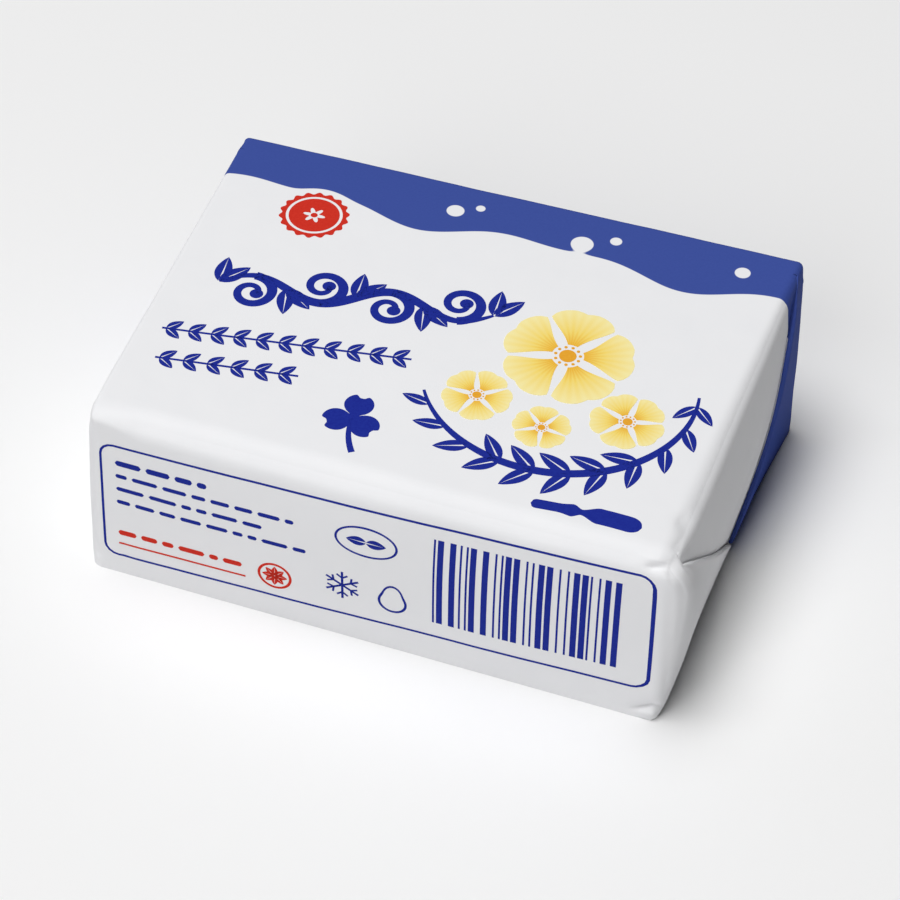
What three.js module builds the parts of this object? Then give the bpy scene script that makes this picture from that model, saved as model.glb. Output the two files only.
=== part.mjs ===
// A 250 g block of butter, shut in its folded paper wrapper.
// Millimetres, +Z up. The origin is the middle of the underside, +X runs along the length,
// and the long side that carries the framed panel faces -Y.
//
// The wrapper is one sheet, pressed round the block from above. At each end the sheet's two corners
// fold into flat triangular ears, which lie on the end panel and meet low down in the middle. The
// long sides fold under the block, where the front flap lies over the back one.

import * as THREE from "three";
import { mergeVertices } from "three/addons/utils/BufferGeometryUtils.js";

const { clamp, lerp, smoothstep } = THREE.MathUtils;

// The brick of butter in its paper, before the swell, the folds and the pressing below
const BRICK = { length: 98.6, width: 74, height: 35.6 };

// How far each edge is rounded, back from where its two faces would meet
const ROUND_TOP_FRONT = { inwards: 4.4, down: 4.4 }; // along the top and down the front
const ROUND_TOP_BACK = 1;
const ROUND_UPRIGHT = { x: 2.2, y: 2.2 };
const ROUND_WING = { x: 1, y: 2.4 }; // the upright edge of the loose ear
const ROUND_BASE = 0.8;
const ROUND_BLEND = 9; // the reach over which one edge's rounding passes into the next
const TOP_BLEND = 5; // and over which an upright edge's passes into the top's

// The shoulders over the two ends are crisp, but for the front of the right one, which is soft. Each
// has a reach inwards along the top and a reach down the end.
const SHOULDER = {
  left: { front: { inwards: 1, down: 1.4 }, back: { inwards: 1, down: 1.2 } },
  right: { front: { inwards: 3.4, down: 3.8 }, back: { inwards: 1, down: 1.4 } },
};

// Soft butter swells the long sides, most above half height, and the top a little
const SIDE_SWELL = 1;
const SIDE_SWELL_RISE = 1.4; // above 1, the fullest place rises towards the top
const TOP_CROWN = 0.4;
const END_BULGE = 1.2; // the ends are fuller at half height

// An ear stands off the end panel along its fold and runs out to nothing at the upright edge. The
// line of a fold starts and ends this far along the end from the ear's upright edge. The front ear
// lies over the tip of the back one.
const EAR_LIFT = 0.8;
const EAR_START = { front: 0, back: 3.4 }; // at the height of the top
const EAR_FOOT = { front: 42.8, back: 35.2 }; // at the underside
const EAR_LEAST = 3.5; // a fold keeps this far from the upright edge
const EAR_FADE_BASE = 3; // an ear flattens out over this height above the underside
const EAR_FADE_TOP = 10; // and over this depth below the top
const FOLD_RUN = 0.3; // width of the step from a fold down to what it lies on
const FOLD_GAP = 0.8; // the least width of the end panel between the folds

// The front right ear was folded loosely. The front runs on past the block as a narrow wing, turned a
// little to the right, and only then folds back on to the end.
const WING_HEAD = 2.1; // how far it stands out, from the next height up
const WING_FULL = 27;
const WING_CURVE = 0.35; // below that it curves in to nothing at the underside
const WING_EDGE = 2.4; // its edge is this wide before it falls back to the fold
const WING_FADE = { from: 27.5, to: 35.4 }; // the heights between which it runs out at the top
const WING_FROM = 46; // it begins this far along the front
const WING_BEND = 48.6; // and turns from here
const WING_SLOPE = 0.32;

// The foot of each end is drawn in where the two ears meet
const END_TUCK = 0.5;
const END_TUCK_RISE = 22;
const END_TUCK_REACH = 14; // along the underside

// The edge of the front flap on the underside stands this far off the back flap, which comes up
// level with it again over the reach.
const FLAP_STEP = 0.5;
const FLAP_REACH = 9;

// Pressing leaves the soft block out of square, and lower at the front: where its corners go, from a
// true brick's.
// end is -1 at the left and 1 at the right, side is -1 at the front and 1 at the back.
const CORNER_SHIFTS = [
  { end: -1, side: -1, top: false, by: [1.8, -0.5, 0] },
  { end: 1, side: -1, top: false, by: [-0.4, -1.7, 0] },
  { end: 1, side: 1, top: false, by: [0.3, 0.4, 0] },
  { end: -1, side: -1, top: true, by: [2.5, -0.5, -2.8] },
  { end: 1, side: -1, top: true, by: [0.7, -1, -3.1] },
  { end: -1, side: 1, top: true, by: [-0.7, -0.5, -0.3] },
  { end: 1, side: 1, top: true, by: [-0.6, 0.3, 0.5] },
];

// Knocks at the soft front right corner: the middle of each, its reach and how far it is pushed in
const DENTS = [
  { at: [47.9, -24.6, 30.4], reach: [2.6, 3.4, 2.6], push: [-0.7, 0, -0.4] },
  { at: [46, -36.2, 30.2], reach: [4, 2, 1.6], push: [0, 0.6, -0.5] },
  { at: [46.5, -38, 4], reach: [4, 2, 1.4], push: [0, 0.7, 0] },
];

// The grid of facets: steps along the length, across an ear, across the panel between, and up
const LENGTH_STEPS = 30;
const EAR_STEPS = 8;
const PANEL_STEPS = 6;
const HEIGHT_STEPS = 16;
const WIDTH_STEPS = 2 * EAR_STEPS + PANEL_STEPS + 2; // the two folds take one step each
const CROWDING = 1.55; // above 1, facets crowd towards the edges
const WELD = 1e-4; // corners of the plain grid closer than this are one corner

const half = { x: BRICK.length / 2, y: BRICK.width / 2 };

// A share from -1 to 1, moved so that even steps crowd towards both ends.
function crowd(share) {
  return Math.sign(share) * (1 - (1 - Math.abs(share)) ** CROWDING);
}

// Where a column of the grid belongs across the end: on an ear or on the panel between the ears.
// along is 0 at an ear's upright edge and 1 at its fold, or -1 to 1 across the panel.
function columnPlace(column) {
  if (column <= EAR_STEPS) return { on: "front", along: column / EAR_STEPS };
  const fromBack = WIDTH_STEPS - column;
  if (fromBack <= EAR_STEPS) return { on: "back", along: fromBack / EAR_STEPS };
  const panelStart = EAR_STEPS + 1;
  return { on: "panel", along: (2 * (column - panelStart)) / PANEL_STEPS - 1 };
}

// The y of each fold at a height above the underside.
function foldLines(z) {
  const drop = 1 - z / BRICK.height;
  const reach = (ear) => Math.max(EAR_LEAST, lerp(EAR_START[ear], EAR_FOOT[ear], drop));
  const front = -half.y + reach("front");
  const back = half.y - reach("back");
  return { front, back: Math.max(back, front + FOLD_GAP) };
}

// The y of a column: it follows the slanting folds down the ends. On the underside, away from the
// ends, the columns behind the front flap's edge spread out evenly instead.
function columnY(place, x, z) {
  const folds = foldLines(z);
  let y = lerp(folds.front + FOLD_RUN, folds.back - FOLD_RUN, (place.along + 1) / 2);
  if (place.on === "front") y = lerp(-half.y, folds.front, place.along);
  if (place.on === "back") y = lerp(half.y, folds.back, place.along);
  const underside = z === 0 && place.on !== "front";
  if (!underside) return y;
  const start = folds.front + FOLD_RUN;
  const stepsBehindFlap = PANEL_STEPS + EAR_STEPS + 1;
  const stepsFromFlap =
    place.on === "panel"
      ? ((place.along + 1) / 2) * PANEL_STEPS
      : stepsBehindFlap - place.along * EAR_STEPS;
  const even = lerp(start, half.y, stepsFromFlap / stepsBehindFlap);
  const awayFromEnds = 1 - smoothstep(Math.abs(x), half.x - 2 * ROUND_BLEND, half.x);
  return lerp(y, even, awayFromEnds);
}

// How near a place is to the face at limit: 1 on the face, 0 from the blend's reach inwards.
function nearness(value, limit) {
  return smoothstep(value, limit - ROUND_BLEND, limit);
}

// How far the shoulder over an end is rounded, from the front to the back of the pack.
function shoulderAt(point) {
  const { front, back } = point.x > 0 ? SHOULDER.right : SHOULDER.left;
  const toBack = ((point.y + half.y) / BRICK.width) ** 2;
  return {
    inwards: lerp(front.inwards, back.inwards, toBack),
    down: lerp(front.down, back.down, toBack),
  };
}

// Pulls a point of the sharp brick in to the rounded one. Each edge becomes a quarter ellipse.
function roundEdges(point) {
  const toTop = smoothstep(point.z, BRICK.height - TOP_BLEND, BRICK.height);
  const toBase = nearness(BRICK.height - point.z, BRICK.height);
  const upright = point.x > 0 && point.y < 0 ? ROUND_WING : ROUND_UPRIGHT;
  const upTheSide = (side, top) => side + (top - side) * toTop + (ROUND_BASE - side) * toBase;
  const shoulder = shoulderAt(point);
  const topEdges = [
    [nearness(-point.y, half.y), ROUND_TOP_FRONT.down],
    [nearness(point.y, half.y), ROUND_TOP_BACK],
    [nearness(Math.abs(point.x), half.x), shoulder.down],
  ];
  const pull = topEdges.reduce((sum, [near]) => sum + near, 0);
  const sharpness = topEdges.reduce((sum, [near, round]) => sum + near / round, 0);
  const topRound = pull > 0 ? pull / sharpness : ROUND_TOP_BACK;

  const round = new THREE.Vector3(
    upTheSide(upright.x, shoulder.inwards),
    upTheSide(upright.y, point.y > 0 ? ROUND_TOP_BACK : ROUND_TOP_FRONT.inwards),
    point.z > BRICK.height / 2 ? topRound : ROUND_BASE,
  );
  const core = new THREE.Vector3(
    clamp(point.x, -half.x + round.x, half.x - round.x),
    clamp(point.y, -half.y + round.y, half.y - round.y),
    clamp(point.z, round.z, BRICK.height - round.z),
  );
  const outwards = point.clone().sub(core).divide(round).normalize();
  return core.add(outwards.multiply(round));
}

// How far an ear stands off the end at a height: most along its fold.
function earLift(place, z) {
  if (place.on === "panel") return 0;
  const clearOfBase = smoothstep(z, 0, EAR_FADE_BASE);
  const clearOfTop = smoothstep(BRICK.height - z, 0, EAR_FADE_TOP);
  return EAR_LIFT * Math.sqrt(place.along) * clearOfBase * clearOfTop;
}

// How far the loose ear stands out past the end at a height, at its upright edge.
function wingOut(z) {
  const rise = Math.min(1, z / WING_FULL) ** WING_CURVE;
  return WING_HEAD * rise * (1 - smoothstep(z, WING_FADE.from, WING_FADE.to));
}

// Where the loose ear and the front beside it move a point, from where it lies on the block at x.
function wingShift(place, point, x, z, onFront) {
  const shift = new THREE.Vector3();
  if (x < WING_FROM || place.on !== "front") return shift;
  const earWidth = foldLines(z).front + half.y;
  const fromFold = 1 - smoothstep(place.along * earWidth, WING_EDGE, earWidth);
  const out = wingOut(z);
  shift.x = ((out * (x - WING_FROM)) / (half.x - WING_FROM)) * fromFold;
  const edge = onFront ? point.x + shift.x : half.x + out;
  shift.y = WING_SLOPE * Math.max(0, edge - WING_BEND) * fromFold * Math.min(1, out);
  return shift;
}

// How far the underside is drawn up behind the front flap's edge.
function flapRecess(place, y) {
  if (place.on === "front") return 0;
  const edge = foldLines(0).front;
  return FLAP_STEP * (1 - smoothstep(y, edge, edge + FLAP_REACH));
}

// How far an end is drawn in at a place: most in the middle of its foot.
function endTuck(spanY, z) {
  return END_TUCK * (1 - smoothstep(z, 0, END_TUCK_RISE)) * (1 - spanY * spanY);
}

// How far a point is pushed in by the dents round it.
function dentPush(point) {
  const push = new THREE.Vector3();
  for (const dent of DENTS) {
    const away = point.clone().sub(new THREE.Vector3(...dent.at)).divide(new THREE.Vector3(...dent.reach));
    push.addScaledVector(new THREE.Vector3(...dent.push), Math.exp(-away.lengthSq()));
  }
  return push;
}

// How far a point of the block moves with the pressed corners round it.
function outOfSquare(point) {
  const up = point.z / BRICK.height;
  const shift = new THREE.Vector3();
  for (const { end, side, top, by } of CORNER_SHIFTS) {
    const share = ((1 + (end * point.x) / half.x) * (1 + (side * point.y) / half.y)) / 4;
    shift.addScaledVector(new THREE.Vector3(...by), share * (top ? up : 1 - up));
  }
  return shift;
}

// Where a corner of the plain grid lies on the wrapped block.
function wrappedPoint(grid) {
  const column = Math.round(((grid.y + 1) / 2) * WIDTH_STEPS);
  const place = columnPlace(column);
  const x = half.x * crowd(grid.x);
  const z = (BRICK.height * (1 + crowd(grid.z))) / 2;
  const onLongSide = Math.abs(grid.y) === 1;
  const y = onLongSide ? half.y * grid.y : columnY(place, x, z);
  const point = roundEdges(new THREE.Vector3(x, y, z));

  const spanX = x / half.x;
  const spanY = y / half.y;
  const awayFromEnds = 1 - spanX * spanX;
  if (onLongSide) {
    const fullness = Math.sin(Math.PI * (z / BRICK.height) ** SIDE_SWELL_RISE);
    point.y += Math.sign(y) * SIDE_SWELL * fullness * awayFromEnds;
  }
  if (grid.z === 1) point.z += TOP_CROWN * awayFromEnds * (1 - spanY * spanY);
  if (grid.z === -1 && !onLongSide) {
    const toEnd = smoothstep(Math.abs(x), half.x - END_TUCK_REACH, half.x);
    point.z += flapRecess(place, y) * awayFromEnds;
    if (Math.abs(grid.x) < 1) point.x -= Math.sign(x) * endTuck(spanY, z) * toEnd;
  }
  if (Math.abs(grid.x) === 1) {
    const bulge = END_BULGE * Math.sin((Math.PI * z) / BRICK.height) * (1 - spanY ** 4);
    point.x += Math.sign(x) * (earLift(place, z) + bulge - endTuck(spanY, z));
  }
  if (Math.abs(grid.z) < 1) point.add(wingShift(place, point, x, z, onLongSide));
  point.add(outOfSquare(point));
  return point.add(dentPush(point));
}

// The wrapped block: a plain grid on a box, laid over the folds, with the middle of its underside
// moved to the origin.
function wrappedBlockGeometry() {
  const grid = new THREE.BoxGeometry(2, 2, 2, LENGTH_STEPS, WIDTH_STEPS, HEIGHT_STEPS);
  grid.deleteAttribute("normal");
  grid.deleteAttribute("uv");
  const geometry = mergeVertices(grid, WELD);
  const corners = geometry.getAttribute("position");
  const corner = new THREE.Vector3();
  for (let i = 0; i < corners.count; i++) {
    corner.fromBufferAttribute(corners, i);
    const laid = wrappedPoint(corner);
    corners.setXYZ(i, laid.x, laid.y, laid.z);
  }
  geometry.computeBoundingBox();
  const middle = geometry.boundingBox.getCenter(new THREE.Vector3());
  geometry.translate(-middle.x, -middle.y, -geometry.boundingBox.min.z);
  geometry.computeVertexNormals();
  return geometry;
}

const wrapperPaper = new THREE.MeshStandardMaterial({
  name: "wrapper_paper",
  color: 0xf0f0f3,
  roughness: 0.42,
  metalness: 0,
});

const wrappedBlock = new THREE.Mesh(wrappedBlockGeometry(), wrapperPaper);
wrappedBlock.name = "wrapped_block";

const pack = new THREE.Group();
pack.add(wrappedBlock);

export default pack;
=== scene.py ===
import math
import random
import bmesh
import bpy
import numpy as np
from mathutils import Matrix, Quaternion, Vector, noise
from mathutils.bvhtree import BVHTree
from mathutils.geometry import barycentric_transform


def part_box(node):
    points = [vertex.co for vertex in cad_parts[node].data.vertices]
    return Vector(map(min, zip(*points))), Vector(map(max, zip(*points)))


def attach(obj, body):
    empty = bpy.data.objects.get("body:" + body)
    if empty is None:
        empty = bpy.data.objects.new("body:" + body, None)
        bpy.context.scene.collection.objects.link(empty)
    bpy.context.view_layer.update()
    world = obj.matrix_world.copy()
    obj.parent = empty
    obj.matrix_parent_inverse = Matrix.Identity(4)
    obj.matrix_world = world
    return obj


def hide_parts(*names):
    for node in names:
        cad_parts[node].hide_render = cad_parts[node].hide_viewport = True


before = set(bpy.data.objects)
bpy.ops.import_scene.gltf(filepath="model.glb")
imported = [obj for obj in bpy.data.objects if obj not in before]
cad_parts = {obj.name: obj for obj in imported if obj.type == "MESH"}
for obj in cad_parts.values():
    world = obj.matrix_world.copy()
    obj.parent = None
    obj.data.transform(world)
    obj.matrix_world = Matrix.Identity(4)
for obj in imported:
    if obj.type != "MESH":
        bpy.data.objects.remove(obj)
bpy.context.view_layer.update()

# The wrapper
# One sheet of white coated paper with a blue printed field, pressed round the block of butter from
# above. At each end its corners fold into two flat triangular ears that lie on the end panel, and
# the long sides fold under, the front flap over the back one. It is shut by its folds alone.

mm = 0.001  # sizes on the pack are in millimetres, and a finished mesh is in metres
brick_length = 98.6  # the block in its paper, before the swell, the folds and the pressing
brick_width = 74.0
brick_height = 35.6
half_x = brick_length / 2
half_y = brick_width / 2

side_swell = 1.0  # soft butter swells the long sides, most above half height, and the top a little
side_swell_rise = 1.4
top_crown = 0.4
ear_lift = 0.8  # an ear's fold stands this far off the end panel
ear_start = {"front": 0.0, "back": 3.4}  # how far along the end a fold's line starts at the top
ear_foot = {"front": 42.8, "back": 35.2}  # and ends at the underside
ear_least = 3.5  # an ear is at least this wide
fold_gap = 0.8  # the front ear lies over the tip of the back one, so the folds never cross
fold_rise = 3.0  # a fold reaches its full height this far above the underside
fold_fall = 6.0  # and this far below the top
fold_least = 0.05
fold_groove = 0.3  # the end panel is pressed in beside a fold
groove_reach = 0.8
ear_slack = 0.35  # an ear hangs in a little between its edge and its fold, as a share of its lift
end_tuck = 1.2  # the foot of each end is drawn in where the two ears meet
end_tuck_rise = 22.0
end_tuck_reach = 14.0  # along the underside
flap_step = 0.5  # the front flap's edge on the underside stands off the back flap
flap_reach = 9.0
flap_fold = 0.3  # the width of the flap's edge

# How far each edge is rounded, back from where its two faces would meet. The front edge of the top and
# the shoulders over the ends have a reach inwards and a reach down. The right shoulder is soft at the
# front, and both are crisp at the back.
round_top_front = (4.4, 4.4)
round_top_back = 1.0
shoulder_front = {"left": (1.0, 1.4), "right": (3.4, 3.8)}
shoulder_back = {"left": (1.0, 1.2), "right": (1.0, 1.4)}
round_upright = {"front": (2.2, 2.2), "back": (1.2, 1.2)}
round_wing = (1.0, 2.4)  # its reach along the front and its reach along the ear
round_blend = 9.0  # near a corner of the top the roundings of its edges run into each other
shoulder_blend = 5.0  # the upright edges run into the top's over this height
edge_wobble = 0.1  # the top front edge is softer in places, by this share
edge_wobble_lengths = (11.0, 40.0)  # along and across the pack
edge_wobble_plane = 3.7  # where the noise is read
end_bulge = 1.2  # the ends are fuller at half height

# The front right ear was folded loosely. The front runs on past the block as a narrow wing, turned a
# little to the right, and only then folds back on to the end.
wing_head = 2.1  # how far it stands out from wing_full up
wing_full = 27.0
wing_curve = 0.35  # below that it curves in to nothing at the underside
wing_edge = 2.4  # its edge is this wide before it falls back to the fold
wing_fade = (27.5, 35.4)  # the heights between which it runs out at the top
wing_from = 46.0  # where along the front it starts
wing_bend = 48.6  # where it turns, and how much
wing_slope = 0.32

# Pressing leaves the soft block out of square, and lower at the front: where its corners go, from a
# true brick's. The corners are named by end, long side and height.
corner_shifts = {
    ("left", "front", "foot"): (1.8, -0.5, 0.0),
    ("right", "front", "foot"): (-0.4, -1.7, 0.0),
    ("right", "back", "foot"): (0.3, 0.4, 0.0),
    ("left", "front", "top"): (2.5, -0.5, -2.8),
    ("right", "front", "top"): (0.7, -1.0, -3.1),
    ("left", "back", "top"): (-0.7, -0.5, -0.3),
    ("right", "back", "top"): (-0.6, 0.3, 0.5),
}

# Steps of the grid: along the length, up the sides, and across an end over its ears, folds and panel
length_steps = 140
height_steps = 84
ear_steps = 36
fold_steps = 6
panel_steps = 48
width_steps = 2 * (ear_steps + fold_steps) + panel_steps
end_blend = 14.0  # the top's and underside's columns follow the ends' this far in
on_side = 0.9999  # a corner of the plain grid this far out lies on that side of it


def clamp(value, low, high):
    return max(low, min(high, value))


def lerp(start, end, share):
    return start + (end - start) * share


def smoothstep(value, low, high):
    """0 up to low, 1 from high on, and a soft rise between."""
    share = clamp((value - low) / (high - low), 0.0, 1.0)
    return share * share * (3 - 2 * share)


def crowd(share, crowding=1.35):
    """A share from -1 to 1, moved so that even steps crowd towards both ends."""
    return math.copysign(1 - (1 - abs(share)) ** crowding, share)


def box_grid(steps):
    """A closed box from -1 to 1 whose sides are grids with that many steps along X, Y and Z."""
    grid = bmesh.new()
    bmesh.ops.create_cube(grid, size=2)
    for axis in range(3):
        along = [e for e in grid.edges if abs(e.verts[0].co[axis] - e.verts[1].co[axis]) > 1.5]
        bmesh.ops.subdivide_edges(grid, edges=along, cuts=steps[axis] - 1, use_grid_fill=True)
    return grid


def fold_lines(z):
    """The y of the front and the back ear's fold at a height."""
    drop = 1 - z / brick_height
    front = -half_y + max(ear_least, lerp(ear_start["front"], ear_foot["front"], drop))
    back = half_y - max(ear_least, lerp(ear_start["back"], ear_foot["back"], drop))
    return front, max(back, front + fold_gap)


def fold_height(z):
    """How far the folds stand off an end: hardly at all at the top and at the underside."""
    clear = smoothstep(z, 0, fold_rise) * smoothstep(brick_height - z, 0, fold_fall)
    return max(fold_least, ear_lift * clear)


def across_end(column, z):
    """The y of a column of the grid at a height on an end, and how far it stands off the end panel."""
    from_back = column > width_steps / 2
    steps_in = width_steps - column if from_back else column
    front, back = fold_lines(z)
    edge, fold = (half_y, back) if from_back else (-half_y, front)
    inwards = -1 if from_back else 1
    height = fold_height(z)
    if steps_in <= ear_steps:
        share = steps_in / ear_steps
        slack = ear_slack * math.sin(math.pi * share) ** 2
        return lerp(edge, fold, share), height * (math.sqrt(share) - slack)
    if steps_in <= ear_steps + fold_steps:
        turn = math.pi * (steps_in - ear_steps) / fold_steps
        roll = height / 2
        return fold + inwards * roll * math.sin(turn), roll + roll * math.cos(turn)
    share = (column - ear_steps - fold_steps) / panel_steps
    y = lerp(front, back, (1 + crowd(2 * share - 1)) / 2)
    beside_fold = math.exp(-(y - front) / groove_reach) + math.exp(-(back - y) / groove_reach)
    return y, -fold_groove * beside_fold * height / ear_lift


def across_top(column, x):
    """The y of a column on the top: as on the ends beside them, and evenly spread away from them."""
    at_end, _ = across_end(column, brick_height)
    even = half_y * crowd(2 * column / width_steps - 1)
    return lerp(at_end, even, 1 - smoothstep(abs(x), half_x - end_blend, half_x))


def across_underside(column, x):
    """The y of a column on the underside, where the front flap's edge runs along one column."""
    at_end, _ = across_end(column, 0)
    if column <= ear_steps:
        return at_end
    flap_edge = fold_lines(0)[0]
    share = (column - ear_steps - 1) / (width_steps - ear_steps - 1)
    even = lerp(flap_edge + flap_fold, half_y, share)
    return lerp(at_end, even, 1 - smoothstep(abs(x), half_x - end_blend, half_x))


def nearness(value, limit):
    """How close a place is to an edge of the top, from 0 to 1."""
    return smoothstep(value, limit - round_blend, limit)


def round_edges(x, y, z):
    """Pulls a point of the sharp block in to the rounded one. Each edge becomes a quarter ellipse."""
    to_top = smoothstep(z, brick_height - shoulder_blend, brick_height)
    end = "right" if x > 0 else "left"
    to_back = ((y + half_y) / brick_width) ** 2
    shoulder_in, shoulder_down = (
        lerp(front, back, to_back) for front, back in zip(shoulder_front[end], shoulder_back[end])
    )
    wave_x, wave_y = edge_wobble_lengths
    wobble = 1 + edge_wobble * noise.noise(Vector((x / wave_x, y / wave_y, edge_wobble_plane)))
    top_front, top_front_down = (reach * wobble for reach in round_top_front)
    side = "back" if y > 0 else "front"
    upright_x, upright_y = round_wing if (end, side) == ("right", "front") else round_upright[side]
    reach_x = lerp(upright_x, shoulder_in, to_top)
    reach_y = lerp(upright_y, round_top_back if y > 0 else top_front, to_top)
    near = [nearness(-y, half_y), nearness(y, half_y), nearness(abs(x), half_x)]
    edges = [top_front_down, round_top_back, shoulder_down]
    sharpness = sum(n / edge for n, edge in zip(near, edges))
    reach_z = sum(near) / sharpness if sharpness > 0 else round_top_back
    core = Vector((
        clamp(x, reach_x - half_x, half_x - reach_x),
        clamp(y, reach_y - half_y, half_y - reach_y),
        min(z, brick_height - reach_z),
    ))
    past = Vector(((x - core.x) / reach_x, (y - core.y) / reach_y, (z - core.z) / reach_z))
    if past.length > 0:
        past *= max(abs(share) for share in past) / past.length
    return core + Vector((past.x * reach_x, past.y * reach_y, past.z * reach_z))


def wing(z):
    """How far the front right ear stands out past the end at a height, at its upright edge."""
    rise = clamp(z / wing_full, 0.0, 1.0) ** wing_curve
    return wing_head * rise * (1 - smoothstep(z, *wing_fade))


def out_of_square(point):
    """How far a point of the block moves with the corners round it."""
    share = {
        "right": (point.x / half_x + 1) / 2,
        "back": (point.y / half_y + 1) / 2,
        "top": point.z / brick_height,
    }
    share |= {"left": 1 - share["right"], "front": 1 - share["back"], "foot": 1 - share["top"]}
    shift = Vector()
    for (end, side, height), corner in corner_shifts.items():
        shift += Vector(corner) * share[end] * share[side] * share[height]
    return shift


def wrap_point(cell):
    """Where a corner of the plain grid lies on the sharp block and on the wrapped one."""
    column = round((cell.y + 1) / 2 * width_steps)
    x = half_x * crowd(cell.x)
    z = brick_height * (1 + crowd(cell.z)) / 2
    on_long_side = abs(cell.y) > on_side
    on_underside = cell.z < -on_side and not on_long_side
    lift = 0.0
    if on_long_side:
        y = half_y * cell.y
    elif cell.z > on_side:
        y = across_top(column, x)
    elif on_underside:
        y = across_underside(column, x)
    else:
        y, lift = across_end(column, z)
    sharp = Vector((x, y, z))
    point = round_edges(x, y, z)
    span_y = y / half_y
    away_from_ends = 1 - (x / half_x) ** 2
    if on_long_side:
        fullness = math.sin(math.pi * (z / brick_height) ** side_swell_rise)
        point.y += math.copysign(side_swell * fullness * away_from_ends, y)
    if cell.z > on_side:
        point.z += top_crown * away_from_ends * (1 - span_y ** 2)
    tuck = end_tuck * (1 - smoothstep(z, 0, end_tuck_rise)) * (1 - span_y ** 2)
    if abs(cell.x) > on_side:
        bulge = end_bulge * math.sin(math.pi * z / brick_height) * (1 - span_y ** 4)
        point.x += math.copysign(1, x) * (lift + bulge - tuck)
    elif on_underside:
        point.x -= math.copysign(tuck, x) * smoothstep(abs(x), half_x - end_tuck_reach, half_x)
    if x > wing_from and column <= ear_steps and abs(cell.z) < on_side:
        ear_width = fold_lines(z)[0] + half_y
        from_fold = 1 - smoothstep(column / ear_steps * ear_width, wing_edge, ear_width)
        point.x += wing(z) * (x - wing_from) / (half_x - wing_from) * from_fold
        edge = point.x if on_long_side else half_x + wing(z)
        point.y += wing_slope * max(0.0, edge - wing_bend) * from_fold * min(1.0, wing(z))
    if on_underside and column > ear_steps:
        flap_edge = fold_lines(0)[0]
        point.z += flap_step * (1 - smoothstep(y, flap_edge, flap_edge + flap_reach)) * away_from_ends
    return sharp, point + out_of_square(point)


def side_of(cells):
    """Which panel, ear or flap of the wrapper a face of the grid belongs to."""
    middle = sum(cells, Vector()) / len(cells)
    column = (middle.y + 1) / 2 * width_steps
    if abs(middle.y) > on_side:
        return "back" if middle.y > 0 else "front"
    if middle.z > on_side:
        return "top"
    if middle.z < -on_side:
        return "front flap" if column < ear_steps + 1 else "back flap"
    if column < ear_steps + fold_steps:
        return "front ear"
    if column > width_steps - ear_steps - fold_steps:
        return "back ear"
    return "end"


def sheet_place(side, sharp):
    """Where a point of the wrapper lies on the flat sheet, in millimetres from the middle of the top."""
    x, y, z = sharp
    drop = brick_height - z
    from_front = y + half_y
    from_back = half_y - y
    return {
        "top": (x, y),
        "front": (x, -half_y - drop),
        "back": (x, half_y + drop),
        "end": (math.copysign(half_x + drop, x), y),
        "front ear": (math.copysign(half_x + from_front, x), -half_y - drop),
        "back ear": (math.copysign(half_x + from_back, x), half_y + drop),
        "front flap": (x, -half_y - brick_height - from_front),
        "back flap": (x, half_y + brick_height + from_back),
    }[side]


wrapper_mesh = box_grid((length_steps, width_steps, height_steps))
cells = [v.co.copy() for v in wrapper_mesh.verts]
sharp_points = []
for vert, cell in zip(wrapper_mesh.verts, cells):
    sharp, vert.co = wrap_point(cell)
    sharp_points.append(sharp)
wrapper_mesh.verts.index_update()
sheet = wrapper_mesh.loops.layers.uv.new("sheet")
for face in wrapper_mesh.faces:
    side = side_of([cells[v.index] for v in face.verts])
    face.smooth = True
    for loop in face.loops:
        loop[sheet].uv = sheet_place(side, sharp_points[loop.vert.index])
wrapper_mesh.normal_update()

# Creases and dents in the paper
# Soft butter under thin paper takes every knock: slow waves all over, sharp creases where the folds
# start at the corners, and a crushed corner at the front right. The underside lies flat.

slow_wave = (18.0, 0.13)  # length and height of the sheet's unevenness
quick_wave = (6.0, 0.035)
flat_base = 0.3  # up to this height the sheet lies flat
full_relief = 1.8  # and from this height on it is as uneven as elsewhere
corner_crease_reach = 9.0  # small creases start this close to each corner
corner_crease_count = 5
corner_crease_width = 0.45
corner_crease_depth = (-0.16, 0.22)
corner_heights = (2.5, brick_height - 2)
same_face = 0.85  # two places that face alike this much lie on one face

# The sheet fills the block's box, with room left for the print
ink_room = 0.06
box_low, box_high = (np.array(corner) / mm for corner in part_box("wrapped_block"))
box_low[:2] += ink_room
box_high -= ink_room
surface = np.array([v.co for v in wrapper_mesh.verts])
low, high = surface.min(axis=0), surface.max(axis=0)
surface = box_low + (surface - low) * (box_high - box_low) / (high - low)

outwards = np.array([v.normal for v in wrapper_mesh.verts])
clear_of_base = np.clip((surface[:, 2] - flat_base) / (full_relief - flat_base), 0, 1)
relief = np.zeros(len(surface))
for length, height in (slow_wave, quick_wave):
    relief += [height * noise.noise(Vector(place) / length) for place in surface]


def crease(path, width, depth):
    """Draws the paper in along a path, in a sharp valley that runs out at both ends. A negative depth
    makes a ridge."""
    path = np.array(path, float)
    spans = np.diff(path, axis=0)
    lengths = np.linalg.norm(spans, axis=1)
    nearest = np.full(len(surface), np.inf)
    run = np.zeros(len(surface))
    for start, span, length, before in zip(path, spans, lengths, np.cumsum(lengths) - lengths):
        share = np.clip((surface - start) @ span / length ** 2, 0, 1)
        away = np.linalg.norm(surface - start - share[:, None] * span, axis=1)
        run = np.where(away < nearest, (before + share * length) / lengths.sum(), run)
        nearest = np.minimum(nearest, away)
    relief[:] -= depth * np.exp(-nearest / width) * np.sin(np.pi * np.clip(run, 0.02, 0.98)) ** 0.6


def dent(middle, reach, depth):
    """Pushes the paper in round a place."""
    away = ((surface - middle) / reach) ** 2
    relief[:] -= depth * np.exp(-away.sum(axis=1))


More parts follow.
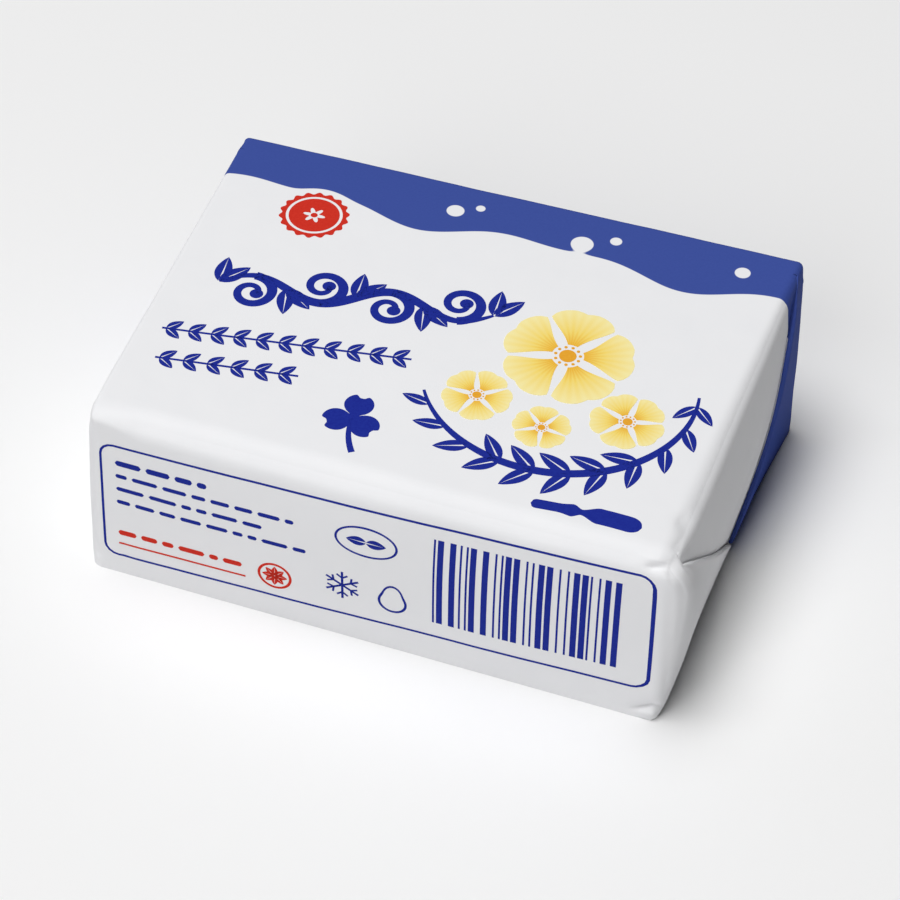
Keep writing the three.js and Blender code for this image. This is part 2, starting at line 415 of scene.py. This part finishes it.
# The crushed corner: a scoop in the shoulder with a sharp rim, a ragged edge from there to the corner
# of the top, a dent below it in the front, a kink down the upright edge, and a curl at the foot
dent((47.9, -27.2, 32.7), (1.6, 1.9, 1.6), 0.45)
crease([(46.9, -28.3, 32.8), (47.0, -27.0, 32.7), (47.5, -26.0, 32.7), (48.2, -25.8, 32.6)], 0.4, 0.2)
crease([(48.6, -25.4, 32.3), (48.7, -26.9, 32.2), (49.0, -27.7, 31.7), (48.8, -28.5, 32.0)], 0.4, -0.3)
crease([(49.0, -28.4, 31.7), (49.0, -30.7, 31.7), (49.0, -32.5, 31.2), (47.8, -35.1, 32.2)], 0.45, -0.3)
crease([(49.4, -28.0, 29.2), (49.3, -30.2, 29.8), (48.9, -33.0, 30.6)], 0.5, 0.3)
crease([(44.6, -37.3, 30.6), (46.0, -36.8, 31.0), (47.0, -36.6, 31.1), (48.0, -36.4, 30.9)], 0.6, 1.0)
crease([(43.5, -36.5, 31.6), (45.7, -36.2, 31.8), (47.7, -36.0, 31.8)], 0.5, -0.6)
crease([(47.7, -35.9, 31.7), (48.3, -36.4, 30.7), (48.8, -37.4, 29.7), (48.8, -37.5, 28.1)], 0.35, 0.35)
crease([(48.7, -37.5, 28.0), (49.2, -37.5, 21.5), (49.3, -37.3, 13.0), (49.3, -37.0, 5.0)], 0.4, 0.3)
crease([(50.0, -22.4, 22.6), (49.9, -24.2, 18.0), (49.6, -27.5, 9.0), (49.3, -32.0, 3.0)], 0.9, -0.2)
crease([(44.3, -38.2, 0.9), (45.9, -38.2, 2.1), (47.8, -38.0, 3.1), (49.0, -37.1, 2.5)], 0.6, 1.2)
crease([(45.0, -38.4, 0.9), (46.9, -38.4, 1.4), (48.4, -37.9, 1.8)], 0.8, -0.9)

# Three small nicks along the front
crease([(-42.2, -36.7, 30.6), (-41.7, -36.3, 31.2)], 0.4, 0.2)
crease([(15.6, -38.2, 1.0), (16.4, -38.2, 2.2)], 0.4, 0.25)
crease([(36.8, -38.1, 1.2), (37.9, -38.1, 2.6)], 0.4, 0.25)

# Small creases where the folds start, at every corner: each joins two near places on one face
crease_draw = random.Random(11)
for end in (-1, 1):
    for side in (-1, 1):
        for height in corner_heights:
            corner = np.array((end * half_x, side * half_y, height))
            away = np.linalg.norm(surface - corner, axis=1)
            near = np.flatnonzero(away < corner_crease_reach)
            for _ in range(corner_crease_count):
                start, finish = (int(near[crease_draw.randrange(len(near))]) for _ in range(2))
                if outwards[start] @ outwards[finish] > same_face:
                    depth = crease_draw.uniform(*corner_crease_depth)
                    crease((surface[start], surface[finish]), corner_crease_width, depth)

surface = np.clip(surface + outwards * (relief * clear_of_base)[:, None], box_low, box_high)
for vert, place in zip(wrapper_mesh.verts, surface):
    vert.co = Vector(place) * mm
wrapper_mesh.normal_update()


def add_piece(name, mesh, material):
    """Makes a finished bmesh a piece of the pack."""
    data = bpy.data.meshes.new(name)
    mesh.to_mesh(data)
    data.materials.append(material)
    piece = bpy.data.objects.new(name, data)
    bpy.context.scene.collection.objects.link(piece)
    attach(piece, "root")
    return piece


def new_material(name):
    """An empty node material: its tree, its Principled shader, and a short way to add nodes."""
    material = bpy.data.materials.new(name)
    material.use_nodes = True
    tree = material.node_tree
    shader = tree.nodes["Principled BSDF"]

    def add(kind, inputs=(), **settings):
        node = tree.nodes.new("ShaderNode" + kind)
        for key, value in settings.items():
            setattr(node, key, value)
        for socket, value in enumerate(inputs):
            if isinstance(value, bpy.types.NodeSocket):
                tree.links.new(value, node.inputs[socket])
            elif value is not None:
                node.inputs[socket].default_value = value
        return node

    return material, tree, shader, add


def mix_colours(add, share, first, second):
    """The colour between two others."""
    mix = add("Mix", [share], data_type="RGBA")
    for socket, colour in ((6, first), (7, second)):
        if isinstance(colour, bpy.types.NodeSocket):
            mix.id_data.links.new(colour, mix.inputs[socket])
        else:
            mix.inputs[socket].default_value = colour
    return mix.outputs[2]


fibre_scale = 2600.0  # to the metre
cockle_scale = 210.0
cockle_share = 3.0  # cockling is this much deeper than the fibres
bump_strength = 0.12
bump_depth = 0.00006
noise_range = (0.3, 0.7)  # between these lies most of what a noise texture gives
paper_roughness = (0.34, 0.42)


def satin_paper(tree, shader, add):
    """The finish that paper and print share: fine fibres under a thin satin varnish."""
    place = add("TexCoord").outputs["Object"]
    fibres = add("TexNoise", [place, None, fibre_scale, 3.0, 0.6])
    cockle = add("TexNoise", [place, None, cockle_scale, 2.0, 0.5])
    depths = [cockle.outputs[0], cockle_share, fibres.outputs[0]]
    height = add("Math", depths, operation="MULTIPLY_ADD")
    bump = add("Bump", [bump_strength, bump_depth, None, height.outputs[0]])
    tree.links.new(bump.outputs[0], shader.inputs["Normal"])
    gloss = add("MapRange", [cockle.outputs[0], *noise_range, *paper_roughness])
    tree.links.new(gloss.outputs[0], shader.inputs["Roughness"])
    shader.inputs["Specular IOR Level"].default_value = 0.0
    shader.inputs["Coat Weight"].default_value = 0.06
    shader.inputs["Coat Roughness"].default_value = 0.2
    return fibres.outputs[0], cockle.outputs[0]


paper_white = (0.87, 0.87, 0.885, 1)
paper_shade = (0.84, 0.845, 0.865, 1)
field_blue = (0.055, 0.092, 0.36, 1)
field_blue_deep = (0.046, 0.078, 0.32, 1)

# The blue field's edge is a slow wave across the top, and it runs straight down both ends. White
# drops swell out of the wave or float beside it, and one wide bay holds the rosette.
field_edge = 25.2
waves = ((46.0, 1.7, 0.4), (23.0, 0.8, 2.1))  # length, height and phase
rosette_place = (-31.0, 20.5)
bay_round = 7.0
drops = (  # place and size of each
    (-9.0, 29.6, 1.5),
    (-5.2, 31.6, 0.8),
    (13.5, 28.6, 1.9),
    (18.6, 31.2, 1.0),
    (40.5, 30.6, 1.3),
)
drop_blend = 2.2
edge_blur = 0.06  # half the width of the printed edge

wrapper_paper, tree, shader, add = new_material("wrapper paper")
fibres, cockle = satin_paper(tree, shader, add)
place = add("UVMap", uv_map="sheet").outputs[0]
across = add("SeparateXYZ", [place])
along_edge = add("Clamp", [across.outputs[0], -half_x, half_x]).outputs[0]
from_edge = add("Math", [across.outputs[1], field_edge], operation="SUBTRACT").outputs[0]
for length, height, phase in waves:
    turn = add("Math", [along_edge, 2 * math.pi / length, phase], operation="MULTIPLY_ADD").outputs[0]
    wave = add("Math", [turn], operation="SINE").outputs[0]
    from_edge = add("Math", [wave, -height, from_edge], operation="MULTIPLY_ADD").outputs[0]
for x, y, size in ((*rosette_place, bay_round), *drops):
    away = add("VectorMath", [place, (x, y, 0)], operation="DISTANCE").outputs["Value"]
    from_drop = add("Math", [away, size], operation="SUBTRACT").outputs[0]
    from_edge = add("Math", [from_edge, from_drop, drop_blend], operation="SMOOTH_MIN").outputs[0]
in_field = add("MapRange", [from_edge, -edge_blur, edge_blur, 0.0, 1.0]).outputs[0]
white = mix_colours(add, cockle, paper_white, paper_shade)
blue = mix_colours(add, fibres, field_blue, field_blue_deep)
tree.links.new(mix_colours(add, in_field, white, blue), shader.inputs["Base Color"])

wrapper = add_piece("wrapper", wrapper_mesh, wrapper_paper)
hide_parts("wrapped_block")

# The printed vine, leaves, clover and knife
# Dark blue ink on the top of the sheet. Print is drawn flat, in millimetres on the sheet, as it is
# before wrapping, and then carried to where the sheet lies. Each shape is a thin closed skin of ink.

ink_lift = 0.018  # a layer of ink stands this far proud of the paper
ink_depth = 0.05  # and its skin reaches this far under the paper's face
ink_corner = 0.6  # an edge of the skin that turns more than this stays sharp
joined = 0.02  # corners of a shape that are closer than this are one
thinnest = 0.02  # a stroke's width where it runs out

wrapper.data.calc_loop_triangles()
sheet_uv = wrapper.data.uv_layers["sheet"].data
triangles = list(wrapper.data.loop_triangles)
flat_corners = [[Vector((*sheet_uv[loop].uv, 0)) for loop in tri.loops] for tri in triangles]
sheet_tree = BVHTree.FromPolygons(
    [corner for corners in flat_corners for corner in corners],
    [(3 * i, 3 * i + 1, 3 * i + 2) for i in range(len(triangles))],
)


def on_wrapper(x, y):
    """Where a place of the flat sheet lies on the pack, and which way the paper faces there."""
    hit, _, index, _ = sheet_tree.ray_cast(Vector((x, y, 1)), Vector((0, 0, -1)))
    corners = [wrapper.data.vertices[i] for i in triangles[index].vertices]
    point = barycentric_transform(hit, *flat_corners[index], *(corner.co for corner in corners))
    facing = barycentric_transform(hit, *flat_corners[index], *(corner.normal for corner in corners))
    return point, facing.normalized()


def new_print():
    """An empty flat print, whose shapes keep the share along and across each of them."""
    flat = bmesh.new()
    flat.loops.layers.uv.new("shape")
    return flat


def patch(flat, along, across, place):
    """Adds a shape to a flat print: a grid, with place(u, v) giving each corner's place on the sheet."""
    shape = flat.loops.layers.uv["shape"]
    made = bmesh.ops.create_grid(flat, x_segments=along, y_segments=across, size=0.5)["verts"]
    shares = {vert: (vert.co.x + 0.5, vert.co.y + 0.5) for vert in made}
    for face in {face for vert in made for face in vert.link_faces}:
        for loop in face.loops:
            loop[shape].uv = shares[loop.vert]
    for vert, (u, v) in shares.items():
        vert.co = Vector((*place(u, v), 0))
    bmesh.ops.remove_doubles(flat, verts=made, dist=joined)


def stroke(flat, path, width, steps, across=2):
    """Draws a pen stroke along path(u), as wide as width(u)."""

    def place(u, v):
        ahead = Vector(path(min(u + 0.001, 1.0))) - Vector(path(max(u - 0.001, 0.0)))
        return Vector(path(u)) + ahead.normalized().orthogonal() * (v - 0.5) * width(u)

    patch(flat, steps, across, place)


def blob(flat, middle, outline, hole=lambda turn: 0.0, steps=(3, 36)):
    """Fills a round shape out to outline(turn), round a hole if it has one."""

    def place(u, v):
        turn = 2 * math.pi * v
        reach = lerp(hole(turn), outline(turn), u)
        return middle[0] + reach * math.cos(turn), middle[1] + reach * math.sin(turn)

    patch(flat, *steps, place)


leaf_rib = 0.07  # half its width at the foot, as a share of the leaf's breadth


def leaf(flat, base, angle, length, breadth):
    """Draws a leaf in two halves, with a fine white rib between them."""
    ahead = Vector((math.cos(angle), math.sin(angle)))
    aside = ahead.orthogonal()
    for hand in (-1, 1):

        def place(u, v):
            rib = leaf_rib * breadth * (1 - u)
            edge = max(rib, breadth / 2 * math.sin(math.pi * u ** 0.8) ** 0.8)
            return Vector(base) + ahead * length * u + aside * hand * lerp(rib, edge, v)

        patch(flat, 10, 2, place)


def turned(place, middle, angle):
    """A place on a motif drawn round the origin, once the motif is turned and put where it belongs."""
    x, y = place
    cos, sin = math.cos(angle), math.sin(angle)
    return middle[0] + x * cos - y * sin, middle[1] + x * sin + y * cos


def add_print(name, flat, material, layer=1):
    """Gives a flat print its thickness, lays it on the wrapper and makes it a piece. A higher layer was
    printed later, over the lower ones."""
    skin = bmesh.ops.extrude_face_region(flat, geom=flat.faces[:])["geom"]
    under = [element for element in skin if isinstance(element, bmesh.types.BMVert)]
    bmesh.ops.translate(flat, verts=under, vec=(0, 0, -1))
    bmesh.ops.recalc_face_normals(flat, faces=flat.faces[:])
    for vert in flat.verts:
        height = -ink_depth if vert.co.z < -0.5 else layer * ink_lift
        point, facing = on_wrapper(vert.co.x, vert.co.y)
        vert.co = point + facing * height * mm
    for face in flat.faces:
        face.smooth = True
    for edge in flat.edges:
        edge.smooth = edge.calc_face_angle(0.0) < ink_corner
    return add_piece(name, flat, material)


def ink(name, colour, second_colour):
    """A printing ink: its colour varies a little with the paper's fibres."""
    material, tree, shader, add = new_material(name)
    fibres, cockle = satin_paper(tree, shader, add)
    tone = add("MapRange", [fibres, *noise_range, 0.0, 1.0]).outputs[0]
    tree.links.new(mix_colours(add, tone, colour, second_colour), shader.inputs["Base Color"])
    return material


blue_ink = ink("blue ink", (0.014, 0.024, 0.27, 1), (0.018, 0.034, 0.31, 1))
blue_top = new_print()

vine_middle = (-17.5, 3.0)
vine_tilt = math.radians(9)
vine_length = 46.0
vine_rise = 2.4
vine_bays = 4
bay_length = vine_length / vine_bays
vine_leaf = (6.2, 2.9)  # length and breadth
vine_leaf_leans = (0.75, 1.5)
curl_start, curl_end = 4.1, 1.0  # how far a tendril winds from the middle of its bay
curl_drop = 1.7  # that middle lies this far off the row's middle line
curl_turns = 1.3
curl_bud = 1.15
curl_line = (1.9, 0.9)  # how thick a tendril is at its start and at its end
vine_line = (0.5, 2.0)  # how thick the stem is at its ends and in its middle


def vine_stem(u):
    x = vine_length * (u - 0.5)
    return turned((x, vine_rise * math.sin(math.pi * vine_bays * u)), vine_middle, vine_tilt)


def swelling(thin, thick, fullness):
    """The width of a stroke that is thin at both ends and thick in its middle."""
    return lambda u: lerp(thin, thick, math.sin(math.pi * clamp(u, 0, 1)) ** fullness)


stroke(blue_top, vine_stem, swelling(*vine_line, 0.7), 90)
for bay in range(vine_bays):
    hand = 1 if bay % 2 == 0 else -1
    curl_middle = (bay_length * (bay + 0.5) - vine_length / 2, -curl_drop * hand)

    def curl(u):
        """A tendril that leaves the stem at its crest and winds in to the middle of the bay."""
        reach = lerp(curl_start, curl_end, u ** 0.9)
        turn = hand * (math.pi / 2 - 2 * math.pi * curl_turns * u)
        place = (curl_middle[0] + reach * math.cos(turn), curl_middle[1] + reach * math.sin(turn))
        return turned(place, vine_middle, vine_tilt)

    stroke(blue_top, curl, lambda u: lerp(*curl_line, u), 48)
    blob(blue_top, curl(1.0), lambda turn: curl_bud, steps=(2, 20))
for joint in range(vine_bays + 1):
    hand = 1 if joint % 2 == 0 else -1
    base = vine_stem(joint / vine_bays)
    for lean in vine_leaf_leans:
        leaf(blue_top, base, vine_tilt + hand * lean, *vine_leaf)

garlands = (  # start, finish and pairs of leaves of each
    ((-45.0, -14.5), (-4.0, -8.0), 11),
    ((-43.5, -21.5), (-20.0, -17.8), 6),
)
garland_line = 0.45
garland_leaf = (3.3, 1.7)
garland_lean = 0.7
for start, finish, pairs in garlands:
    row = Vector(finish) - Vector(start)
    slope = math.atan2(row.y, row.x)
    stroke(blue_top, lambda u: Vector(start) + row * u, lambda u: garland_line, 40)
    for pair in range(pairs):
        base = Vector(start) + row * (pair + 0.2) / pairs
        for lean in (-garland_lean, garland_lean):
            leaf(blue_top, base, slope + lean, *garland_leaf)

clover_middle = (-8.5, -23.5)
clover_round = 5.2
stem_start = 0.5
stem_length = 7.0
stem_bend = 2.4
stem_line = (0.7, 1.1)


def clover_edge(turn):
    """Three round leaves with a nick in the middle of each."""
    lobe = math.cos(1.5 * (turn - math.pi / 2))
    nick = 0.16 * math.exp(-((1 - abs(lobe)) / 0.03) ** 2)
    return clover_round * (0.16 + 0.84 * abs(lobe) ** 0.55 - nick)


def clover_stem(u):
    return clover_middle[0] + stem_bend * u ** 2, clover_middle[1] - stem_start - stem_length * u


blob(blue_top, clover_middle, clover_edge, steps=(6, 120))
stroke(blue_top, clover_stem, lambda u: lerp(*stem_line, u), 12)

knife_start = (24.0, -31.6)
knife_length = 18.0
knife_bow = 0.8
handle_width = 1.9
neck_width = 1.1
blade_width = 3.3


def knife_path(u):
    return knife_start[0] + knife_length * u, knife_start[1] + knife_bow * math.sin(2.2 * u)


def knife_width(u):
    """A round-ended handle, a narrow neck and a broad blade with a round tip."""
    handle = handle_width * (1 - smoothstep(u, 0.36, 0.46))
    neck = neck_width * (1 - smoothstep(abs(u - 0.44), 0.0, 0.2))
    blade = blade_width * smoothstep(u, 0.44, 0.62)
    tip = math.sqrt(max(0.0, 1 - max(0.0, (u - 0.88) / 0.12) ** 2))
    butt = math.sqrt(max(0.0, 1 - max(0.0, (0.05 - u) / 0.05) ** 2))
    return max(thinnest, (handle + blade + neck) * tip * butt)


stroke(blue_top, knife_path, knife_width, 60, across=8)

add_print("blue_print_top", blue_top, blue_ink)

# The printed rosette
# A red seal with a scalloped rim and a flower left white in its middle, printed in the white bay of
# the blue field.

red_ink = ink("red ink", (0.60, 0.030, 0.018, 1), (0.66, 0.040, 0.024, 1))
red_top = new_print()
scallops = 18
rosette_round = 6.0
rim_round = 0.8 * rosette_round
seal_round = 0.72 * rosette_round
flower_round = 0.32 * rosette_round
pip_round = 0.1 * rosette_round
rosette_petals = 6


def rim_edge(turn):
    return rosette_round * (0.955 + 0.045 * math.cos(scallops * turn))


def flower_edge(turn):
    return flower_round * (0.72 + 0.28 * math.cos(rosette_petals * turn))


blob(red_top, rosette_place, rim_edge, lambda turn: rim_round, steps=(2, 216))
blob(red_top, rosette_place, lambda turn: seal_round, flower_edge, steps=(4, 96))
blob(red_top, rosette_place, lambda turn: pip_round, steps=(2, 24))
add_print("red_print_top", red_top, red_ink)

# The printed flowers and wreath
# Four five-petalled meadow flowers in butter yellow, which turns golden towards their middles, over a
# wreath of leaves in the same blue ink as the vine.

yellow_top = new_print()
flowers = (  # middle, size and turn of each
    ((19.5, 1.5), 11.0, 0.3),
    ((33.0, -9.5), 6.2, 0.9),
    ((8.5, -12.0), 5.8, 0.0),
    ((20.5, -15.5), 4.8, 0.5),
)
petals = 5
petal_start = 0.24  # sizes within a flower are shares of its own
petal_veins = 44.0
flower_eye = 0.13
stamens = 11
stamen_ring = 0.185
stamen_round = 0.026


def petal(flat, middle, size, angle):
    """Draws one petal, from a narrow foot to a broad tip with a small notch."""

    def place(u, v):
        side = 2 * v - 1
        spread = 2 * math.pi / petals * (0.5 + 0.44 * math.sin(math.pi / 2 * u))
        tip = size * (1 - 0.12 * side ** 4 - 0.05 * math.exp(-(side / 0.16) ** 2))
        reach = lerp(petal_start * size, tip, u)
        turn = angle + spread * (v - 0.5)
        return middle[0] + reach * math.cos(turn), middle[1] + reach * math.sin(turn)

    patch(flat, 12, 14, place)


for middle, size, turn in flowers:
    for number in range(petals):
        petal(yellow_top, middle, size, turn + 2 * math.pi * number / petals)

petal_foot = (0.86, 0.47, 0.045, 1)
petal_middle = (0.93, 0.70, 0.16, 1)
petal_tip = (0.95, 0.84, 0.40, 1)
yellow_ink, tree, shader, add = new_material("yellow ink")
fibres, cockle = satin_paper(tree, shader, add)
along = add("SeparateXYZ", [add("UVMap", uv_map="shape").outputs[0]])
veins = add("Math", [along.outputs[1], petal_veins], operation="MULTIPLY").outputs[0]
ripple = add("Math", [veins], operation="SINE").outputs[0]
vein = add("Math", [ripple, 0.07], operation="MULTIPLY").outputs[0]
reach = add("Math", [along.outputs[0], vein], operation="ADD").outputs[0]
foot = add("MapRange", [reach, 0.0, 0.38, 0.0, 1.0]).outputs[0]
tip = add("MapRange", [reach, 0.35, 1.0, 0.0, 1.0]).outputs[0]
petal_tone = mix_colours(add, foot, petal_foot, petal_middle)
tree.links.new(mix_colours(add, tip, petal_tone, petal_tip), shader.inputs["Base Color"])
add_print("yellow_print_top", yellow_top, yellow_ink, layer=2)

gold_top = new_print()
for middle, size, turn in flowers:
    blob(gold_top, middle, lambda angle: flower_eye * size, steps=(2, 24))
    ring = stamen_ring * size
    for number in range(stamens):
        angle = turn + 2 * math.pi * number / stamens
        dot = (middle[0] + ring * math.cos(angle), middle[1] + ring * math.sin(angle))
        blob(gold_top, dot, lambda angle: stamen_round * size, steps=(1, 10))
gold_ink = ink("gold ink", (0.80, 0.36, 0.03, 1), (0.84, 0.42, 0.04, 1))
add_print("gold_print_top", gold_top, gold_ink, layer=2)

wreath_top = new_print()
wreath_middle = (20.0, -4.0)
wreath_round = (22.5, 21.0)
wreath_from, wreath_to = math.radians(10), math.radians(-152)
wreath_pairs = 11
wreath_line = (0.5, 1.6)
wreath_lean = 0.75
wreath_leaf_length = 4.6  # at the ends, and longer in the middle
wreath_leaf_growth = 1.9
wreath_leaf_breadth = 0.42  # as a share of its length
flower_room = 0.4  # a leaf whose tip is closer to a flower than this is left out


def wreath_path(u):
    turn = lerp(wreath_from, wreath_to, u)
    return (
        wreath_middle[0] + wreath_round[0] * math.cos(turn),
        wreath_middle[1] + wreath_round[1] * math.sin(turn),
    )


stroke(wreath_top, wreath_path, swelling(*wreath_line, 1.0), 70)
for pair in range(wreath_pairs):
    u = (pair + 0.4) / wreath_pairs
    base = Vector(wreath_path(u))
    ahead = Vector(wreath_path(u + 0.01)) - base
    slope = math.atan2(ahead.y, ahead.x)
    size = wreath_leaf_length + wreath_leaf_growth * math.sin(math.pi * u)
    for lean in (-wreath_lean, wreath_lean):
        tip = base + size * Vector((math.cos(slope + lean), math.sin(slope + lean)))
        if all((tip - Vector(middle)).length > reach + flower_room for middle, reach, _ in flowers):
            leaf(wreath_top, base, slope + lean, size, wreath_leaf_breadth * size)
add_print("blue_print_wreath", wreath_top, blue_ink)

# The printed panel on the front
# A thin blue frame with ruled rows, a snow star, a drop, an oval and a field of plain bars, in the
# same blue ink as the top, and a small red wheel with a rule.

blue_front = new_print()
red_front = new_print()

frame_left, frame_right, frame_foot, frame_head = -46.3, 47.1, 4.1, 29.3
frame_round = 2.3
frame_line = 0.45
motif_line = 0.42
print_askew = 0.03  # the sheet lay a little askew, so the print climbs to the right and leans back


def front(x, z):
    """The place on the flat sheet of a point of the front print, z above the underside at the left."""
    lean = print_askew * (z - frame_foot)
    rise = print_askew * (x - frame_left)
    return x - lean, z + rise - half_y - brick_height


def frame_path(u):
    """Once round the frame from the left end of its foot, by four straight sides and round corners."""
    width = frame_right - frame_left - 2 * frame_round
    height = frame_head - frame_foot - 2 * frame_round
    quarter = math.pi / 2 * frame_round
    run = u % 1.0 * (2 * (width + height) + 4 * quarter)
    x, z, heading = frame_left + frame_round, frame_foot, 0.0
    for side in (width, height, width, height):
        straight = min(run, side)
        x += straight * math.cos(heading)
        z += straight * math.sin(heading)
        run -= straight
        bend = clamp(run / frame_round, 0.0, math.pi / 2)
        x += frame_round * (math.sin(heading + bend) - math.sin(heading))
        z -= frame_round * (math.cos(heading + bend) - math.cos(heading))
        run -= bend * frame_round
        heading += bend
        if run <= 0:
            break
    return front(x, z)


stroke(blue_front, frame_path, lambda u: frame_line, 260)

dash_lengths = (1.6, 5.2)
dash_least = 1.2
dash_gap = 0.8


def dashes(flat, start, finish, z, thickness, seed):
    """A ruled row of round-ended dashes of uneven length."""
    draw = random.Random(seed)
    x = start
    while x < finish - dash_least:
        length = min(draw.uniform(*dash_lengths), finish - x)
        left = x

        def width(u):
            end = min(u, 1 - u) * length / (thickness / 2)
            return max(thinnest, thickness * math.sqrt(clamp(1 - (1 - min(1.0, end)) ** 2, 0.0, 1.0)))

        stroke(flat, lambda u: front(left + length * u, z), width, 14)
        x += length + dash_gap


rows_left = -43.8
rows = (  # where each row ends, its height and its thickness
    (-27.6, 25.6, 1.15),
    (-12.5, 22.7, 0.85),
    (-18.0, 19.8, 0.85),
    (-10.4, 16.8, 0.85),
)
for number, (finish, z, thickness) in enumerate(rows):
    dashes(blue_front, rows_left, finish, z, thickness, number)

star_place = (-4.2, 11.0)
star_arms = 6
star_reach = 3.2
barb_start = 1.7
barb_length = 1.2
barb_line = 0.36
barb_lean = 0.9
for arm in range(star_arms):
    angle = 2 * math.pi / star_arms * arm + math.pi / star_arms
    ahead = Vector((math.cos(angle), math.sin(angle)))

    def arm_path(u):
        return front(*(Vector(star_place) + ahead * star_reach * u))

    stroke(blue_front, arm_path, lambda u: motif_line, 8)
    for lean in (-barb_lean, barb_lean):
        barb = Vector((math.cos(angle + lean), math.sin(angle + lean)))

        def barb_path(u):
            return front(*(Vector(star_place) + ahead * barb_start + barb * barb_length * u))

        stroke(blue_front, barb_path, lambda u: barb_line, 4)


def line_round(flat, middle, edge, line, steps):
    """Draws a line round a shape, just inside its edge(turn)."""
    blob(flat, middle, edge, lambda turn: edge(turn) - line, steps=(1, steps))


drop_place = (4.4, 9.8)
drop_round = 2.5
drop_point = 0.62  # how far its tip stands out, as a share of drop_round


def drop_edge(turn):
    return drop_round * (1 + drop_point * max(0.0, math.sin(turn)) ** 6)


line_round(blue_front, front(*drop_place), drop_edge, frame_line, 48)

oval_place = (-0.1, 22.4)
oval_half_x, oval_half_z = 5.4, 3.3
oval_leaf = (3.4, 1.9)


def oval_edge(turn):
    across = math.hypot(oval_half_z * math.cos(turn), oval_half_x * math.sin(turn))
    return oval_half_x * oval_half_z / across


line_round(blue_front, front(*oval_place), oval_edge, motif_line, 64)
for lean in (0.0, math.pi):
    leaf(blue_front, front(*oval_place), lean, *oval_leaf)

bars_from, bars_to, bars_foot, bars_head = 11.2, 42.2, 7.5, 26.7
bar_unit = 0.34  # bars and gaps are a few units wide, by a rule that looks uneven
x = bars_from
number = 0
while x < bars_to:
    width = bar_unit * (1 + (7 * number * number + 3 * number) % 4)
    left = x
    patch(blue_front, 2, 12, lambda u, v: front(left + width * u, lerp(bars_foot, bars_head, v)))
    x += width + bar_unit * (1 + (5 * number + number // 3) % 3)
    number += 1

wheel_place = (-16.0, 9.0)
wheel_round = 3.0
wheel_hole = 0.84 * wheel_round
wheel_leaves = 8
wheel_leaf = (0.74 * wheel_round, 0.4 * wheel_round)
wheel_middle = front(*wheel_place)
blob(red_front, wheel_middle, lambda turn: wheel_round, lambda turn: wheel_hole, steps=(1, 48))
for spoke in range(wheel_leaves):
    leaf(red_front, wheel_middle, 2 * math.pi / wheel_leaves * spoke, *wheel_leaf)

rule_right = -21.2
rule_height = 7.0
rule_line = 0.4
red_row = (-21.6, 9.6, 1.1)  # where it ends, its height and its thickness
red_row_seed = 9
stroke(
    red_front,
    lambda u: front(lerp(rows_left, rule_right, u), rule_height),
    lambda u: rule_line,
    24,
)
dashes(red_front, rows_left, *red_row, red_row_seed)

add_print("blue_print_front", blue_front, blue_ink)
add_print("red_print_front", red_front, red_ink)

# Floor, light and camera
# A plain pale floor and three large soft lamps stand in for a studio table; the camera looks down on
# the front and the right end through a long lens.

floor_mesh = bmesh.new()
bmesh.ops.create_grid(floor_mesh, x_segments=1, y_segments=1, size=4)
floor_data = bpy.data.meshes.new("floor")
floor_mesh.to_mesh(floor_data)
floor_material, tree, shader, add = new_material("floor")
shader.inputs["Base Color"].default_value = (0.93, 0.93, 0.93, 1)
shader.inputs["Roughness"].default_value = 0.8
floor_data.materials.append(floor_material)
floor = bpy.data.objects.new("floor", floor_data)
bpy.context.scene.collection.objects.link(floor)


def aim(thing, place, target, roll=0.0):
    """Puts a lamp or the camera at a place, turned towards a target."""
    towards = (Vector(target) - Vector(place)).to_track_quat("-Z", "Y")
    thing.location = place
    thing.rotation_mode = "QUATERNION"
    thing.rotation_quaternion = towards @ Quaternion((0, 0, 1), roll)


def softbox(name, place, target, size, watts):
    """Hangs a square soft lamp."""
    lamp = bpy.data.lights.new(name, "AREA")
    lamp.shape = "SQUARE"
    lamp.size = size
    lamp.energy = watts
    box = bpy.data.objects.new(name, lamp)
    bpy.context.scene.collection.objects.link(box)
    aim(box, place, target)


lamp_size = 1.2
lamp_target = (0, 0, 0.02)
softbox("front softbox", (-0.3, -1.95, 1.35), lamp_target, lamp_size, 16.5)
softbox("near top softbox", (-0.4, -0.4, 2.3), lamp_target, lamp_size, 34.0)
softbox("far top softbox", (-0.4, 0.4, 2.3), lamp_target, lamp_size, 12.5)

world = bpy.data.worlds.new("studio")
world.use_nodes = True
background = world.node_tree.nodes["Background"]
background.inputs["Color"].default_value = (1, 1, 1, 1)
background.inputs["Strength"].default_value = 0.02
bpy.context.scene.world = world
bpy.context.scene.view_settings.view_transform = "Standard"

camera_place = (0.14858, -0.4424, 0.41413)
camera_target = (0.00335, -0.00872, 0.018)
camera_roll = math.radians(2.014)
camera_data = bpy.data.cameras.new("camera")
camera_data.lens = 150
camera_data.sensor_width = 36
camera = bpy.data.objects.new("camera", camera_data)
bpy.context.scene.collection.objects.link(camera)
aim(camera, camera_place, camera_target, camera_roll)
bpy.context.scene.camera = camera
